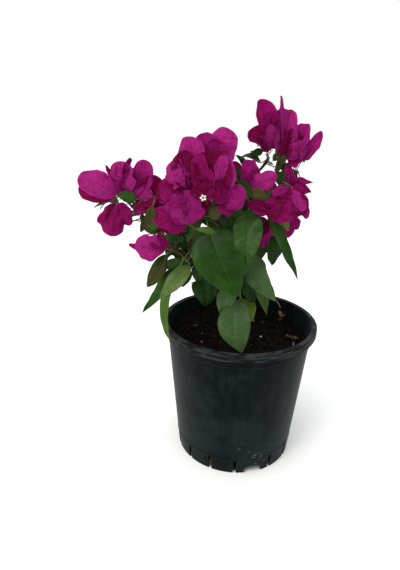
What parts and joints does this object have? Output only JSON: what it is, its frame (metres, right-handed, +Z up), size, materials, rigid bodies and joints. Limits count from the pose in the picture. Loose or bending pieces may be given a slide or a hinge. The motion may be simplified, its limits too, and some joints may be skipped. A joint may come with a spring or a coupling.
{
  "type": "potted bougainvillea bush",
  "caption": "Small bougainvillea with magenta bracts and hanging green leaves on a leaning woody stem, in a tapered black plastic nursery pot filled with dark potting soil.",
  "frame": {"origin": "centre of the flat underside of the pot", "axes": "+Z up; -Y towards the front of the plant; +X towards its tallest spray, at the right as seen from the front"},
  "size_m": [0.293, 0.2, 0.457],
  "materials": {
    "pot_plastic": "moulded black polypropylene, satin, with a greyer lip, faint scuffs and water marks",
    "potting_soil": "moist dark peat with bark crumbs and dry litter",
    "woody_stem": "young ridged bark, brown on the trunk and reddish brown on the twigs",
    "leaf_blade": "satin green leaf with a pale midrib",
    "bract_blade": "papery magenta bract with raised veins"
  },
  "bodies": {
    "root": {"pot": "pot_plastic", "soil": "potting_soil", "trunk": "woody_stem", "bough_left_lower": "woody_stem", "bough_left_outer": "woody_stem", "bough_centre": "woody_stem", "bough_right_lower": "woody_stem", "bough_right_upper": "woody_stem", "bough_right_side": "woody_stem", "bough_back": "woody_stem", "bough_back_left": "woody_stem", "leaf_front_large": "leaf_blade", "leaf_front_right": "leaf_blade", "leaf_wavy": "leaf_blade", "leaf_curled_tip": "leaf_blade", "leaf_right_long": "leaf_blade", "leaf_right_small": "leaf_blade", "leaf_low_front": "leaf_blade", "leaf_low_yellow": "leaf_blade", "leaf_low_middle": "leaf_blade", "leaf_low_left": "leaf_blade", "leaf_left_light": "leaf_blade", "leaf_left_outer": "leaf_blade", "leaf_left_hanging": "leaf_blade", "leaf_left_small": "leaf_blade", "leaf_left_dark": "leaf_blade", "leaf_top_olive": "leaf_blade", "leaf_bronze": "leaf_blade", "leaf_tip_thin": "leaf_blade", "leaf_back_large": "leaf_blade", "leaf_back_middle": "leaf_blade", "leaf_back_right": "leaf_blade", "leaf_back_left": "leaf_blade", "leaf_back_low": "leaf_blade", "leaf_back_lowest": "leaf_blade", "bracts_left_tip": "bract_blade", "bracts_left_upright": "bract_blade", "bracts_left_inner": "bract_blade", "bracts_left_hanging": "bract_blade", "bracts_left_low": "bract_blade", "bracts_centre_left": "bract_blade", "bracts_centre_side": "bract_blade", "bracts_centre_upper": "bract_blade", "bracts_centre_top": "bract_blade", "bracts_centre_open": "bract_blade", "bracts_centre_lobe": "bract_blade", "bracts_top_tall": "bract_blade", "bracts_top_left": "bract_blade", "bracts_top_middle": "bract_blade", "bracts_top_right": "bract_blade", "bracts_middle_cup": "bract_blade", "bracts_right_upper": "bract_blade", "bracts_right_large": "bract_blade", "bracts_right_low": "bract_blade", "bracts_right_inner": "bract_blade", "bracts_back_centre": "bract_blade", "bracts_back_left": "bract_blade", "bracts_back_right": "bract_blade", "bracts_back_top": "bract_blade"}
  },
  "joints": []
}
